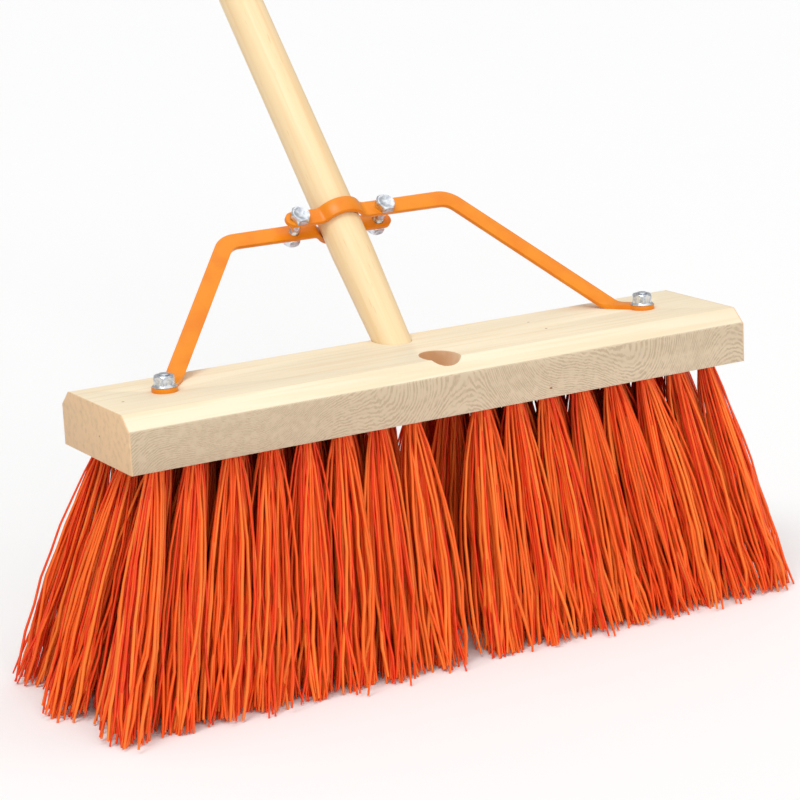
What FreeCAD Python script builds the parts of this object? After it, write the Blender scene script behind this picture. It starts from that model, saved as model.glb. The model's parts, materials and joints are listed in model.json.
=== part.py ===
import FreeCAD, Part
import math
import os
import Sketcher

Vector = FreeCAD.Vector

# Push broom. X runs along the head, +Y is the side the handle leans to and +Z is up. The origin is on the
# floor, in the plane of the bristle tips, below the centre of the block. Lengths are millimetres and
# angles are degrees.

SIZES = (
    ("block_length", 406.4),
    ("block_width", 88.9),
    ("block_thickness", 31.75),
    ("chamfer_run", 9.2),
    ("chamfer_drop", 8.5),
    ("trim_length", 140.0),
    ("handle_length", 1524.0),
    ("handle_radius", 12.7),
    ("handle_taper_length", 63.0),
    ("handle_taper", 1.5),
    ("handle_dome", 5.0),
    ("handle_lean", 42.0),
    ("socket_setback", 16.95),
    ("socket_floor", 3.94),
    ("socket_clearance", 0.15),
    ("socket_end_gap", 1.0),
    ("strap_width", 10.2),
    ("strap_thickness", 2.6),
    ("clamp_height", 86.3),
    ("clamp_tilt", 6.0),
    ("clamp_half_gap", 6.4),
    ("clamp_bolt_reach", 29.0),
    ("tab_overhang", 8.8),
    ("saddle_gap", 0.8),
    ("saddle_flare", 6.0),
    ("shoulder_reach", 74.0),
    ("shoulder_radius", 14.0),
    ("fold_offset", 16.0),
    ("fold_radius", 6.0),
    ("foot_eye_margin", 2.3),
    ("bolt_radius", 3.175),
    ("bolt_hole_clearance", 0.25),
    ("nut_bore_clearance", 0.05),
    ("hex_flats", 11.1),
    ("clamp_head_height", 4.4),
    ("clamp_nut_height", 5.6),
    ("bolt_end_proud", 2.0),
    ("flange_nut_height", 6.6),
    ("flange_radius", 7.0),
    ("flange_height", 1.8),
    ("foot_head_radius", 8.0),
    ("foot_head_height", 3.0),
    ("foot_recess_depth", 4.0),
    ("foot_recess_clearance", 0.5),
    ("tuft_end_margin", 20.0),
    ("tuft_side_margin", 12.45),
    ("tuft_root_radius", 5.0),
    ("tuft_tip_gap", 1.94),
    ("tuft_hole_clearance", 0.2),
    ("tuft_plug_depth", 13.0),
    ("tuft_hole_end_gap", 1.0),
    ("tip_splay_x", 32.3),
    ("tip_splay_y", 29.5),
    ("anchor_radius", 0.8),
    ("anchor_clearance", 0.15),
    ("anchor_bite", 1.0),
    ("anchor_setback", 2.5),
)

# Tufts of each row, front to back, counted in pitches from the middle of the block. The sockets leave no
# wood for a tuft in the middle, and a foot bolt takes the place of one tuft on each side of the middle row.
WIDE_ROW = (1, 2, 3, 4, 5, 6, 7, 8)
NARROW_ROW = (1.5, 2.5, 3.5, 4.5, 5.5, 6.5, 7.5)
BOLTED_ROW = (1, 2, 3, 4, 5, 6, 8)
TUFT_ROWS = (WIDE_ROW, NARROW_ROW, BOLTED_ROW, NARROW_ROW, WIDE_ROW)
MIDDLE_ROW = 2
OUTER_TUFT = 8
BOLT_TUFT = 7

# Measures that follow from the sizes, as expressions on the sheet.
LEAN = "(Sizes.handle_lean * 1 deg)"
TAPER = "tan(Sizes.handle_taper * 1 deg)"
BLOCK_TOP = "(Sizes.trim_length + Sizes.block_thickness)"
ENTRY_RADIUS = "(Sizes.handle_radius - Sizes.handle_taper_length * %s)" % TAPER
MOUTH_RADIUS = "(%s + Sizes.socket_clearance)" % ENTRY_RADIUS
SOCKET_OFFSET = "(Sizes.block_width / 2 - Sizes.socket_setback)"
SOCKET_DEPTH = ("((Sizes.block_thickness - Sizes.socket_floor - %s * sin(%s)) / (cos(%s) - %s * sin(%s)))"
                % (MOUTH_RADIUS, LEAN, LEAN, TAPER, LEAN))
CLAMP_LEAN = "((Sizes.handle_lean + Sizes.clamp_tilt) * 1 deg)"
TUFT_PITCH = "((Sizes.block_length / 2 - Sizes.tuft_end_margin) / %d)" % OUTER_TUFT
ROW_SPACING = "((Sizes.block_width / 2 - Sizes.tuft_side_margin) / %d)" % MIDDLE_ROW
TIP_PITCH = "(%s + Sizes.tip_splay_x / %d)" % (TUFT_PITCH, OUTER_TUFT)
TIP_RADIUS = "((%s - Sizes.tuft_tip_gap) / 2)" % TIP_PITCH
FOOT_BOLT_REACH = "(%d * %s)" % (BOLT_TUFT, TUFT_PITCH)
FOOT_EYE_RADIUS = "(Sizes.strap_width / 2 + Sizes.foot_eye_margin)"
ANCHOR_DEPTH = "(Sizes.tuft_plug_depth - Sizes.anchor_setback)"

SIDES = (("left", -1), ("right", 1))
BEND_STEP = math.radians(6)
SQUARE_ROOT_3 = "1.7320508075688772"

doc = FreeCAD.newDocument("push_broom")
sheet = doc.addObject("Spreadsheet::Sheet", "Sizes")
for line, (alias, value) in enumerate(SIZES, start=1):
    sheet.set("A%d" % line, alias)
    sheet.set("B%d" % line, str(value))
    sheet.setAlias("B%d" % line, alias)
doc.recompute()

nodes = []


def size(alias):
    """Return one size of the sheet as a plain number."""
    return float(sheet.get(alias))


def measure(expression):
    """Work out an expression on the sheet's sizes as a plain number."""
    return float(sheet.evalExpression(expression))


def bind(item, expressions):
    """Tie properties of an object to expressions on the sheet's sizes."""
    for name, expression in expressions.items():
        item.setExpression(name, expression)
    return item


def primitive(kind, name, expressions):
    """Add a Part primitive whose sizes and place are tied to the sheet."""
    return bind(doc.addObject("Part::" + kind, name), expressions)


def fuse(name, items):
    """Join objects into one solid."""
    joined = doc.addObject("Part::MultiFuse", name)
    joined.Shapes = items
    joined.Refine = True
    return joined


def cut(name, base, tool):
    """Take one object away from another."""
    rest = doc.addObject("Part::Cut", name)
    rest.Base = base
    rest.Tool = tool
    rest.Refine = True
    return rest


def compound(name, items):
    """Group objects without joining them."""
    group = doc.addObject("Part::Compound", name)
    group.Links = items
    return group


def piece(item, label):
    """Name an object as one of the broom's pieces."""
    item.Label = label
    nodes.append(item)
    return item


def feature_piece(label, shape):
    """Make a piece from a shape built by Part's own functions."""
    item = doc.addObject("Part::Feature", "feature_" + label)
    item.Shape = shape
    return piece(item, label)


# --- block ----------------------------------------------------------------------------------------------

HALF_WIDTH = "Sizes.block_width / 2"
SHOULDER_Z = BLOCK_TOP + " - Sizes.chamfer_drop"
BLOCK_CORNERS = (
    ("-" + HALF_WIDTH, "Sizes.trim_length"),
    (HALF_WIDTH, "Sizes.trim_length"),
    (HALF_WIDTH, SHOULDER_Z),
    (HALF_WIDTH + " - Sizes.chamfer_run", BLOCK_TOP),
    ("-" + HALF_WIDTH + " + Sizes.chamfer_run", BLOCK_TOP),
    ("-" + HALF_WIDTH, SHOULDER_Z),
)


def profile_sketch(body, role, corners):
    """Draw a closed outline on a body's own plane, with each corner tied to a pair of expressions."""
    sketch = body.newObject("Sketcher::SketchObject", body.Name + "_profile")
    plane = next(item for item in body.Origin.OriginFeatures if item.Role == role)
    sketch.AttachmentSupport = (plane, [""])
    sketch.MapMode = "FlatFace"
    places = [Vector(sheet.evalExpression(across), sheet.evalExpression(up), 0) for across, up in corners]
    count = len(places)
    for index, place in enumerate(places):
        sketch.addGeometry(Part.LineSegment(place, places[(index + 1) % count]))
    for index in range(count):
        sketch.addConstraint(Sketcher.Constraint("Coincident", index, 2, (index + 1) % count, 1))
    for index, (place, (across, up)) in enumerate(zip(places, corners)):
        for kind, value, expression in (("DistanceX", place.x, across), ("DistanceY", place.y, up)):
            number = sketch.addConstraint(Sketcher.Constraint(kind, -1, 1, index, 1, value))
            sketch.setExpression("Constraints[%d]" % number, expression)
    return sketch


def block_blank():
    """Pad the block's end profile, with its two long chamfers, along X."""
    body = doc.addObject("PartDesign::Body", "block_blank")
    pad = body.newObject("PartDesign::Pad", "block_board")
    pad.Profile = profile_sketch(body, "YZ_Plane", BLOCK_CORNERS)
    pad.Midplane = True
    pad.setExpression("Length", "Sizes.block_length")
    return body


def socket_cutter(name, side):
    """Cone of one tapered handle socket, from its floor to well above the block's top."""
    cutter = doc.addObject("Part::Cone", name)
    cutter.Placement = FreeCAD.Placement(Vector(), FreeCAD.Rotation(Vector(-side, 0, 0), 1))
    return bind(cutter, {
        "Radius1": "%s - %s * %s" % (MOUTH_RADIUS, SOCKET_DEPTH, TAPER),
        "Radius2": "%s + Sizes.block_thickness * %s" % (MOUTH_RADIUS, TAPER),
        "Height": "%s + Sizes.block_thickness" % SOCKET_DEPTH,
        "Placement.Rotation.Angle": "Sizes.handle_lean",
        "Placement.Base.y": "%d * (%s - %s * sin(%s))" % (side, SOCKET_OFFSET, SOCKET_DEPTH, LEAN),
        "Placement.Base.z": "%s - %s * cos(%s)" % (BLOCK_TOP, SOCKET_DEPTH, LEAN),
    })


def row_offset(row):
    """Count of row spacings from the middle of the block to one row."""
    return row - MIDDLE_ROW


def tuft_holes():
    """Blind holes for all the tufts, drilled up from the block's underside."""
    holes = []
    for row, places in enumerate(TUFT_ROWS):
        for label, side in SIDES:
            for place in places:
                name = "tuft_hole_%d_%s_%d" % (row + 1, label, 10 * place)
                holes.append(primitive("Cylinder", name, {
                    "Radius": "Sizes.tuft_root_radius + Sizes.tuft_hole_clearance",
                    "Height": "Sizes.tuft_plug_depth + Sizes.tuft_hole_end_gap",
                    "Placement.Base.x": "%g * %s" % (side * place, TUFT_PITCH),
                    "Placement.Base.y": "%d * %s" % (row_offset(row), ROW_SPACING),
                    "Placement.Base.z": "Sizes.trim_length",
                }))
    return holes


def foot_bolt_holes():
    """Through hole and underside recess for each foot bolt."""
    holes = []
    for label, side in SIDES:
        reach = "%d * %s" % (side, FOOT_BOLT_REACH)
        holes.append(primitive("Cylinder", "foot_hole_" + label, {
            "Radius": "Sizes.bolt_radius + Sizes.bolt_hole_clearance",
            "Height": "Sizes.block_thickness",
            "Placement.Base.x": reach,
            "Placement.Base.z": "Sizes.trim_length",
        }))
        holes.append(primitive("Cylinder", "foot_recess_" + label, {
            "Radius": "Sizes.foot_head_radius + Sizes.foot_recess_clearance",
            "Height": "Sizes.foot_recess_depth",
            "Placement.Base.x": reach,
            "Placement.Base.z": "Sizes.trim_length",
        }))
    return holes


def build_block():
    """Cut the sockets, the bolt holes and the tuft holes out of the board."""
    sockets = [socket_cutter("socket_rear", 1), socket_cutter("socket_front", -1)]
    cutters = compound("block_cutters", tuft_holes())
    slotted = cut("block_drilled", block_blank(), cutters)
    bored = cut("block_bored", slotted, fuse("bolt_cutters", foot_bolt_holes()))
    return piece(cut("block_socketed", bored, fuse("socket_cutters", sockets)), "block")


# --- handle ---------------------------------------------------------------------------------------------

def build_handle():
    """Tapered end, straight shaft and domed top, along Z and then leant back into the rear socket."""
    insert = "(%s - Sizes.socket_end_gap)" % SOCKET_DEPTH
    shaft_end = "(Sizes.handle_length - %s - Sizes.handle_dome)" % insert
    end = primitive("Cone", "handle_taper", {
        "Radius1": "%s - %s * %s" % (ENTRY_RADIUS, insert, TAPER),
        "Radius2": "Sizes.handle_radius",
        "Height": "%s + Sizes.handle_taper_length" % insert,
        "Placement.Base.z": "-" + insert,
    })
    shaft = primitive("Cylinder", "handle_shaft", {
        "Radius": "Sizes.handle_radius",
        "Height": "%s - Sizes.handle_taper_length" % shaft_end,
        "Placement.Base.z": "Sizes.handle_taper_length",
    })
    dome = primitive("Ellipsoid", "handle_top", {
        "Radius1": "Sizes.handle_dome",
        "Radius2": "Sizes.handle_radius",
        "Radius3": "Sizes.handle_radius",
        "Placement.Base.z": shaft_end,
    })
    dome.Angle1 = 0
    handle = fuse("handle_joined", [end, shaft, dome])
    handle.Placement = FreeCAD.Placement(Vector(), FreeCAD.Rotation(Vector(-1, 0, 0), 1))
    bind(handle, {
        "Placement.Rotation.Angle": "Sizes.handle_lean",
        "Placement.Base.y": SOCKET_OFFSET,
        "Placement.Base.z": BLOCK_TOP,
    })
    return piece(handle, "handle")


# --- brace arms -----------------------------------------------------------------------------------------

def leaning(angle):
    """Return the up direction and the forward normal of a plane leant back about X."""
    return Vector(0, math.sin(angle), math.cos(angle)), Vector(0, -math.cos(angle), math.sin(angle))


def clamp_frame():
    """Return the clamp's centre on the handle's axis, its up direction and its forward normal."""
    axis = leaning(math.radians(size("handle_lean")))[0]
    entry = Vector(0, measure(SOCKET_OFFSET), measure(BLOCK_TOP))
    up, front = leaning(math.radians(size("handle_lean") + size("clamp_tilt")))
    return entry + axis * size("clamp_height"), up, front


def steps(start, end):
    """Angles from start to end in even steps no longer than BEND_STEP."""
    count = max(1, math.ceil(abs(end - start) / BEND_STEP))
    return [start + (end - start) * index / count for index in range(count + 1)]


def clamp_profile():
    """Centre line of the clamp half, as (along X, forward, normal angle), from its tab to its arm.

    The strap is flat at both bolts, and flares up over a saddle that is round the handle."""
    level = size("clamp_half_gap")
    saddle = size("handle_radius") + size("saddle_gap") + size("strap_thickness") / 2
    flare = size("saddle_flare")
    flat_end = math.sqrt((saddle + flare) ** 2 - (level + flare) ** 2)
    swing = math.atan2(flat_end, level + flare)
    tab_end = size("clamp_bolt_reach") + size("tab_overhang") - size("strap_width") / 2
    line = [(-tab_end, level, 0.0)]
    for turn in steps(0, swing):
        line.append((-flat_end + flare * math.sin(turn), level + flare - flare * math.cos(turn), -turn))
    for turn in steps(-swing, swing)[1:-1]:
        line.append((saddle * math.sin(turn), saddle * math.cos(turn), turn))
    for turn in steps(swing, 0):
        line.append((flat_end - flare * math.sin(turn), level + flare - flare * math.cos(turn), turn))
    line.append((size("clamp_bolt_reach"), level, 0.0))
    return line


def strap(sections):
    """Skin the strap through sections given as (one edge, the other edge, normal)."""
    half = size("strap_thickness") / 2
    wires = []
    for one, other, normal in sections:
        corners = [one + normal * half, other + normal * half, other - normal * half, one - normal * half]
        wires.append(Part.makePolygon(corners + corners[:1]))
    return Part.makeLoft(wires, True, True)


def brace_sections(side, facing):
    """Sections of one arm: clamp half, arm, shoulder bend, leg, fold and foot.

    side is -1 or 1 along X, and facing is 1 for the half in front of the handle, -1 for the rear one."""
    centre, up, front = clamp_frame()
    across = Vector(side, 0, 0)
    half = size("strap_width") / 2
    sections = []
    for along, forward, angle in clamp_profile():
        place = centre + across * along + front * (facing * forward)
        normal = across * math.sin(angle) + front * (facing * math.cos(angle))
        sections.append((place - up * half, place + up * half, normal * facing))

    # The leg's plane goes through X, the arm's centre line and the fold on the block's top.
    arm = centre + front * (facing * size("clamp_half_gap"))
    foot_z = measure(BLOCK_TOP) + size("strap_thickness") / 2
    foot_reach = measure(FOOT_BOLT_REACH)
    lean = math.atan2(arm.y - size("fold_offset"), arm.z - foot_z)
    leg_up, leg_front = leaning(lean)
    bend = math.pi / 2 - lean
    inset = size("fold_radius") * math.tan(bend / 2)
    leg_run = (arm.z - foot_z) / math.cos(lean) - inset
    foot_run = size("fold_offset") - inset
    unrolled = leg_run + size("fold_radius") * bend + foot_run
    slope = math.atan2(unrolled, foot_reach - size("shoulder_reach"))
    advance = 1 / math.tan(slope)
    radius = size("shoulder_radius")
    start = size("shoulder_reach") - radius * math.tan(slope / 2)
    pivot = Vector(side * start, arm.y, arm.z) - leg_up * radius
    for turn in steps(0, slope):
        spoke = across * math.sin(turn) + leg_up * math.cos(turn)
        sections.append((pivot + spoke * (radius - half), pivot + spoke * (radius + half), leg_front))

    # Below the shoulder the sections run along X, as the fold does.
    half_cut = across * (half / math.sin(slope))
    fold_x = size("shoulder_reach") + advance * leg_run
    fold_y = arm.y - leg_run * math.sin(lean)
    fold_z = arm.z - leg_run * math.cos(lean)
    fold_centre = Vector(0, fold_y, fold_z) + leg_front * size("fold_radius")
    for turn in steps(0, bend):
        fold_up, fold_front = leaning(lean + turn)
        reach = fold_x + advance * size("fold_radius") * turn
        place = fold_centre - fold_front * size("fold_radius") + across * reach
        sections.append((place - half_cut, place + half_cut, fold_front))
    foot = Vector(side * foot_reach, 0, foot_z)
    sections.append((foot - half_cut, foot + half_cut, Vector(0, 0, 1)))
    return sections


def disc(centre, normal, radius):
    """A flat disc of the strap's thickness, centred in that thickness."""
    thickness = size("strap_thickness")
    return Part.makeCylinder(radius, thickness, centre - normal * (thickness / 2), normal)


def build_arm(label, side, facing):
    """One bent strap with a rounded tab, a foot eye and three bolt holes."""
    centre, up, front = clamp_frame()
    tab_plane = centre + front * (facing * size("clamp_half_gap"))
    tab_end = size("clamp_bolt_reach") + size("tab_overhang") - size("strap_width") / 2
    foot = brace_sections(side, facing)[-1]
    eye_centre = (foot[0] + foot[1]) * 0.5
    ends = [disc(tab_plane - Vector(side * tab_end, 0, 0), front, size("strap_width") / 2),
            disc(eye_centre, Vector(0, 0, 1), measure(FOOT_EYE_RADIUS))]
    hole = size("bolt_radius") + size("bolt_hole_clearance")
    bolt_reach = Vector(size("clamp_bolt_reach"), 0, 0)
    holes = [disc(tab_plane + bolt_reach, front, hole), disc(tab_plane - bolt_reach, front, hole),
             disc(eye_centre, Vector(0, 0, 1), hole)]
    shape = strap(brace_sections(side, facing)).multiFuse(ends).cut(Part.makeCompound(holes))
    return feature_piece("brace_arm_" + label, shape.removeSplitter())


# --- fasteners ------------------------------------------------------------------------------------------

def lean_into_clamp(item, side, forward):
    """Set a fastener, made along Z, square through the clamp's tabs at a bolt's place."""
    item.Placement = FreeCAD.Placement(Vector(), FreeCAD.Rotation(Vector(1, 0, 0), 1))
    return bind(item, {
        "Placement.Rotation.Angle": "90 - (Sizes.handle_lean + Sizes.clamp_tilt)",
        "Placement.Base.x": "%d * Sizes.clamp_bolt_reach" % side,
        "Placement.Base.y": "%s + Sizes.clamp_height * sin(%s) - (%s) * cos(%s)"
                            % (SOCKET_OFFSET, LEAN, forward, CLAMP_LEAN),
        "Placement.Base.z": "%s + Sizes.clamp_height * cos(%s) + (%s) * sin(%s)"
                            % (BLOCK_TOP, LEAN, forward, CLAMP_LEAN),
    })


def hexagon(name, height, lift="0"):
    """Hexagonal prism across the common flats."""
    prism = doc.addObject("Part::Prism", name)
    prism.Polygon = 6
    return bind(prism, {
        "Circumradius": "Sizes.hex_flats / %s" % SQUARE_ROOT_3,
        "Height": height,
        "Placement.Base.z": lift,
    })


def build_clamp_bolt(label, side):
    """Hexagon head bolt whose head bears on the front tab."""
    stack = "2 * Sizes.clamp_half_gap + Sizes.strap_thickness + Sizes.clamp_nut_height"
    grip = "(%s + Sizes.bolt_end_proud)" % stack
    head = hexagon("clamp_head_" + label, "Sizes.clamp_head_height")
    shank = primitive("Cylinder", "clamp_shank_" + label, {
        "Radius": "Sizes.bolt_radius",
        "Height": grip,
        "Placement.Base.z": "-" + grip,
    })
    bolt = fuse("clamp_bolt_joined_" + label, [head, shank])
    lean_into_clamp(bolt, side, "Sizes.clamp_half_gap + Sizes.strap_thickness / 2")
    return piece(bolt, "clamp_bolt_" + label)


def bored_nut(name, body, height):
    """Take the bore out of a nut."""
    bore = primitive("Cylinder", name + "_bore", {
        "Radius": "Sizes.bolt_radius + Sizes.nut_bore_clearance",
        "Height": height,
    })
    return cut(name, body, bore)


def build_clamp_nut(label, side):
    """Plain hexagon nut behind the rear tab."""
    blank = hexagon("clamp_nut_blank_" + label, "Sizes.clamp_nut_height")
    nut = bored_nut("clamp_nut_bored_" + label, blank, "Sizes.clamp_nut_height")
    lean_into_clamp(nut, side, "-Sizes.clamp_half_gap - Sizes.strap_thickness / 2 - Sizes.clamp_nut_height")
    return piece(nut, "clamp_nut_" + label)


def build_foot_bolt(label, side):
    """Round head bolt that comes up through the block, its head in the recess below."""
    head = primitive("Cylinder", "foot_head_" + label, {
        "Radius": "Sizes.foot_head_radius",
        "Height": "Sizes.foot_head_height",
        "Placement.Base.z": "-Sizes.foot_head_height",
    })
    shank = primitive("Cylinder", "foot_shank_" + label, {
        "Radius": "Sizes.bolt_radius",
        "Height": "Sizes.block_thickness - Sizes.foot_recess_depth + Sizes.strap_thickness"
                  " + Sizes.flange_nut_height + Sizes.bolt_end_proud / 2",
    })
    bolt = fuse("foot_bolt_joined_" + label, [head, shank])
    bind(bolt, {
        "Placement.Base.x": "%d * %s" % (side, FOOT_BOLT_REACH),
        "Placement.Base.z": "Sizes.trim_length + Sizes.foot_recess_depth",
    })
    return piece(bolt, "foot_bolt_" + label)


def build_foot_nut(label, side):
    """Hexagon nut with a sloping flange, on top of the foot."""
    flange = primitive("Cone", "foot_flange_" + label, {
        "Radius1": "Sizes.flange_radius",
        "Radius2": "Sizes.hex_flats / 2",
        "Height": "Sizes.flange_height",
    })
    blank = fuse("foot_nut_blank_" + label, [flange, hexagon("foot_hex_" + label, "Sizes.flange_nut_height")])
    nut = bored_nut("foot_nut_bored_" + label, blank, "Sizes.flange_nut_height")
    bind(nut, {
        "Placement.Base.x": "%d * %s" % (side, FOOT_BOLT_REACH),
        "Placement.Base.z": BLOCK_TOP + " + Sizes.strap_thickness",
    })
    return piece(nut, "foot_nut_" + label)


# --- tufts and their anchors ----------------------------------------------------------------------------

def tuft_roots(row):
    """Places of a row's tufts where they leave the block."""
    pitch = measure(TUFT_PITCH)
    height = size("trim_length")
    across = row_offset(row) * measure(ROW_SPACING)
    return [Vector(side * place * pitch, across, height) for _, side in SIDES for place in TUFT_ROWS[row]]


def splay(root):
    """Place of a tuft's tip on the floor: the tufts lean out from the middle both ways."""
    outer_x = OUTER_TUFT * measure(TUFT_PITCH)
    outer_y = MIDDLE_ROW * measure(ROW_SPACING)
    along = root.x * (1 + size("tip_splay_x") / outer_x)
    across = root.y * (1 + size("tip_splay_y") / outer_y)
    return Vector(along, across, 0)


def anchor(root, radius, length):
    """Wire that crosses a tuft's fold, along Y."""
    start = root + Vector(0, -length / 2, measure(ANCHOR_DEPTH))
    return Part.makeCylinder(radius, length, start, Vector(0, 1, 0))


def tuft(root):
    """One tuft: a plug in its hole and a bundle that widens to its trimmed tip, notched for the anchor."""
    up = Vector(0, 0, 1)
    rings = [Part.Wire(Part.makeCircle(measure(TIP_RADIUS), splay(root), up)),
             Part.Wire(Part.makeCircle(size("tuft_root_radius"), root, up))]
    plug = Part.makeCylinder(size("tuft_root_radius"), size("tuft_plug_depth"), root, up)
    notch = anchor(root, size("anchor_radius") + size("anchor_clearance"), 4 * size("tuft_root_radius"))
    return Part.makeLoft(rings, True, True).fuse(plug).cut(notch)


def build_row(row):
    """The tufts of one row, and the anchors that hold them."""
    roots = tuft_roots(row)
    length = 2 * (size("tuft_root_radius") + size("tuft_hole_clearance") + size("anchor_bite"))
    feature_piece("tuft_row_%d" % (row + 1), Part.makeCompound([tuft(root) for root in roots]))
    anchors = [anchor(root, size("anchor_radius"), length) for root in roots]
    feature_piece("tuft_anchors_%d" % (row + 1), Part.makeCompound(anchors))


# --- assembly -------------------------------------------------------------------------------------------

def check_and_export():
    """Stop on any failed object or bad shape, and write each piece."""
    doc.recompute()
    for item in doc.Objects:
        if "Invalid" in item.State or "Error" in item.State:
            raise RuntimeError("%s failed: %s" % (item.Name, item.State))
    for item in nodes:
        if item.Shape.isNull() or not item.Shape.isValid() or not item.Shape.Solids:
            raise RuntimeError("%s has no valid solid" % item.Label)
    os.makedirs("parts", exist_ok=True)
    for item in nodes:
        item.Shape.exportStep("parts/%s.step" % item.Label)
        print("%-20s %3d solids %10.1f mm3" % (item.Label, len(item.Shape.Solids), item.Shape.Volume))


build_block()
build_handle()
build_arm("left", -1, -1)
build_arm("right", 1, 1)
for side_label, side_sign in SIDES:
    build_clamp_bolt(side_label, side_sign)
    build_clamp_nut(side_label, side_sign)
    build_foot_bolt(side_label, side_sign)
    build_foot_nut(side_label, side_sign)
for row_number in range(len(TUFT_ROWS)):
    build_row(row_number)
check_and_export()
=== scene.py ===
"""Push broom: wooden block and handle, bristle tufts, orange strap brace and its zinc fasteners."""

import json
import logging
import math
from collections.abc import Callable
from dataclasses import dataclass, field
from enum import Enum
from typing import Any

import bmesh
import bpy
import numpy as np
from mathutils import Matrix, Vector


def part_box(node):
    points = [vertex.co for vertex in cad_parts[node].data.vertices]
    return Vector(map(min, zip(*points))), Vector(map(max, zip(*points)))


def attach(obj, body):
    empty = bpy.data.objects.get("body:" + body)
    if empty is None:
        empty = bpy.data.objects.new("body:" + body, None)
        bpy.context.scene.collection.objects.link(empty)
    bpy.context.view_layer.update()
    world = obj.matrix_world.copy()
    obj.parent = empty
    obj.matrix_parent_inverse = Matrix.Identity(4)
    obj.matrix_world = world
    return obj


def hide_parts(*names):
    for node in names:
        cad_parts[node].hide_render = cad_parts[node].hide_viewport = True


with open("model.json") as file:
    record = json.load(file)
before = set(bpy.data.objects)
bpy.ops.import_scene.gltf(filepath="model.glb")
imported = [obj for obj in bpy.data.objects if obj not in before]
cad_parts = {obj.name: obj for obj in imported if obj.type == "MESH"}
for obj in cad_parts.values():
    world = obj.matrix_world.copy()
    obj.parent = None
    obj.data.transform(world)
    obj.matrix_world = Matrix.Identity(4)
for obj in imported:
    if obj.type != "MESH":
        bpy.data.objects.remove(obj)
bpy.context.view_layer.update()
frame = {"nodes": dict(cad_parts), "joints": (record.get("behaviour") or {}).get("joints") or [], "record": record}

MILLIMETRE = 0.001
GOLDEN_ANGLE = math.pi * (3 - math.sqrt(5))
TUFT_ROWS = 5
LOG = logging.getLogger("push_broom")

Colour = tuple[float, float, float, float]
Triple = tuple[float, float, float]
Rings = list[list[Vector]]
Socket = bpy.types.NodeSocket


class Body(Enum):
    """Bodies of the frame."""

    HEAD = "head"
    HANDLE = "handle"


class Slot(Enum):
    """Material slots of the pieces that replace the frame's own."""

    BLOCK_WOOD = "block_wood"
    ORANGE_PAINT = "orange_paint"
    ZINC_STEEL = "zinc_steel"
    BRISTLE = "bristle"


class Side(Enum):
    """The two ends of the head."""

    LEFT = "left"
    RIGHT = "right"


def paint_colour(red: int, green: int, blue: int) -> Colour:
    """Turn a colour chart's 0-255 values into a linear colour.

    Args:
        red: red value.
        green: green value.
        blue: blue value.

    Returns:
        The linear colour with full alpha.
    """
    def linear(value: int) -> float:
        """Take the display curve off one value."""
        share = value / 255
        return share / 12.92 if share <= 0.04045 else ((share + 0.055) / 1.055) ** 2.4

    return linear(red), linear(green), linear(blue), 1.0


# --- node trees -----------------------------------------------------------------------------------------


@dataclass(frozen=True)
class Span:
    """The stretch of a pattern's values over which something comes in, and its share at the end."""

    low: float
    high: float
    share: float = 1.0


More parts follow.
